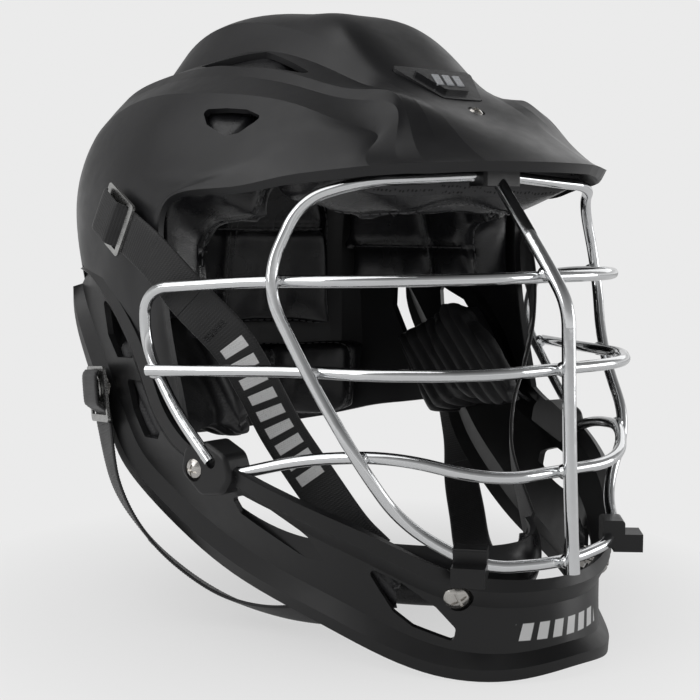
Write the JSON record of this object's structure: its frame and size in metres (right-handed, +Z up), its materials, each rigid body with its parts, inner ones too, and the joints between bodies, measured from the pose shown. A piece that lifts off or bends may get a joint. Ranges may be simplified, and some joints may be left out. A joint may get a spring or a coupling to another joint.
{
  "type": "lacrosse helmet",
  "caption": "Black lacrosse helmet with a visored crown shell, a jaw guard, a chrome wire cage, foam pads and a chin cup on press-stud straps.",
  "frame": {"origin": "centre of the wearer's head on its basic plane, through the ears", "axes": "-Y the way the wearer faces, +X to the wearer's left, +Z up to the crown"},
  "size_m": [0.254, 0.3042, 0.2997],
  "materials": {
    "crown_plastic": "fine satin black, moulded",
    "guard_plastic": "satin black, moulded",
    "cage_chrome": "bright plated wire",
    "screw_steel": "polished steel",
    "buckle_steel": "plated steel",
    "webbing": "woven black webbing",
    "pad_vinyl": "glossy vinyl over foam",
    "pad_foam": "ribbed closed-cell foam",
    "cup_plastic": "moulded black"
  },
  "bodies": {
    "helmet": {"a_frame_bar": "cage_chrome", "badge_plate": "guard_plastic", "badge_screw": "screw_steel", "brow_pad": "pad_vinyl", "centre_bar": "cage_chrome", "chin_clip_left": "guard_plastic", "chin_clip_right": "guard_plastic", "chin_guard_pad_left": "pad_foam", "chin_guard_pad_right": "pad_foam", "chin_nuts": "screw_steel", "chin_screws": "screw_steel", "crown_pad": "pad_vinyl", "crown_shell": "crown_plastic", "jaw_guard": "guard_plastic", "jaw_pad_left": "pad_vinyl", "jaw_pad_right": "pad_vinyl", "jaw_screws": "screw_steel", "lower_bar": "cage_chrome", "lower_strap_left": "webbing", "lower_strap_right": "webbing", "middle_bar": "cage_chrome", "nape_pad": "pad_vinyl", "rear_pad": "pad_vinyl", "side_loop_bar": "cage_chrome", "side_pad_left": "pad_vinyl", "side_pad_right": "pad_vinyl", "snap_studs": "screw_steel", "upper_strap_left": "webbing", "upper_strap_right": "webbing", "visor_clip": "guard_plastic", "weld_beads": "cage_chrome"},
    "cap_upper_left": {"snap_cap_upper_left": "buckle_steel"},
    "plate_upper_left": {"strap_plate_upper_left": "buckle_steel", "webbing_loop_upper_left": "webbing"},
    "cap_upper_right": {"snap_cap_upper_right": "buckle_steel"},
    "plate_upper_right": {"strap_plate_upper_right": "buckle_steel", "webbing_loop_upper_right": "webbing"},
    "cap_lower_left": {"snap_cap_lower_left": "buckle_steel"},
    "plate_lower_left": {"strap_plate_lower_left": "buckle_steel", "webbing_loop_lower_left": "webbing"},
    "cap_lower_right": {"snap_cap_lower_right": "buckle_steel"},
    "plate_lower_right": {"strap_plate_lower_right": "buckle_steel", "webbing_loop_lower_right": "webbing"},
    "cup": {"chin_cup": "cup_plastic", "chin_cup_pad": "pad_vinyl"}
  },
  "joints": [
    {"name": "unsnap_upper_left", "type": "slide", "parent": "helmet", "child": "cap_upper_left", "axis": [0.9925, -0.0201, 0.1203], "range_m": [0, 0.006], "deforming": ["upper_strap_left"]},
    {"name": "swivel_upper_left", "type": "hinge", "parent": "cap_upper_left", "child": "plate_upper_left", "pos_m": [0.11584, 0.01348, 0.04613], "axis": [0.9925, -0.0201, 0.1203], "range_deg": [-15, 15], "deforming": ["upper_strap_left"]},
    {"name": "unsnap_upper_right", "type": "slide", "parent": "helmet", "child": "cap_upper_right", "axis": [-0.9925, -0.0201, 0.1203], "range_m": [0, 0.006], "deforming": ["upper_strap_right"]},
    {"name": "swivel_upper_right", "type": "hinge", "parent": "cap_upper_right", "child": "plate_upper_right", "pos_m": [-0.11584, 0.01348, 0.04613], "axis": [-0.9925, -0.0201, 0.1203], "range_deg": [-15, 15], "deforming": ["upper_strap_right"]},
    {"name": "unsnap_lower_left", "type": "slide", "parent": "helmet", "child": "cap_lower_left", "axis": [0.9874, 0.1504, -0.0501], "range_m": [0, 0.006], "deforming": ["lower_strap_left"]},
    {"name": "swivel_lower_left", "type": "hinge", "parent": "cap_lower_left", "child": "plate_lower_left", "pos_m": [0.11131, 0.03975, -0.03676], "axis": [0.9874, 0.1504, -0.0501], "range_deg": [-15, 15], "deforming": ["lower_strap_left"]},
    {"name": "unsnap_lower_right", "type": "slide", "parent": "helmet", "child": "cap_lower_right", "axis": [-0.9874, 0.1504, -0.0501], "range_m": [0, 0.006], "deforming": ["lower_strap_right"]},
    {"name": "swivel_lower_right", "type": "hinge", "parent": "cap_lower_right", "child": "plate_lower_right", "pos_m": [-0.11131, 0.03975, -0.03676], "axis": [-0.9874, 0.1504, -0.0501], "range_deg": [-15, 15], "deforming": ["lower_strap_right"]},
    {"name": "cup_tilt", "type": "hinge", "parent": "helmet", "child": "cup", "pos_m": [0, -0.09455, -0.11215], "axis": [1, 0, 0], "range_deg": [-12, 12], "deforming": ["upper_strap_left", "upper_strap_right", "lower_strap_left", "lower_strap_right"]}
  ]
}
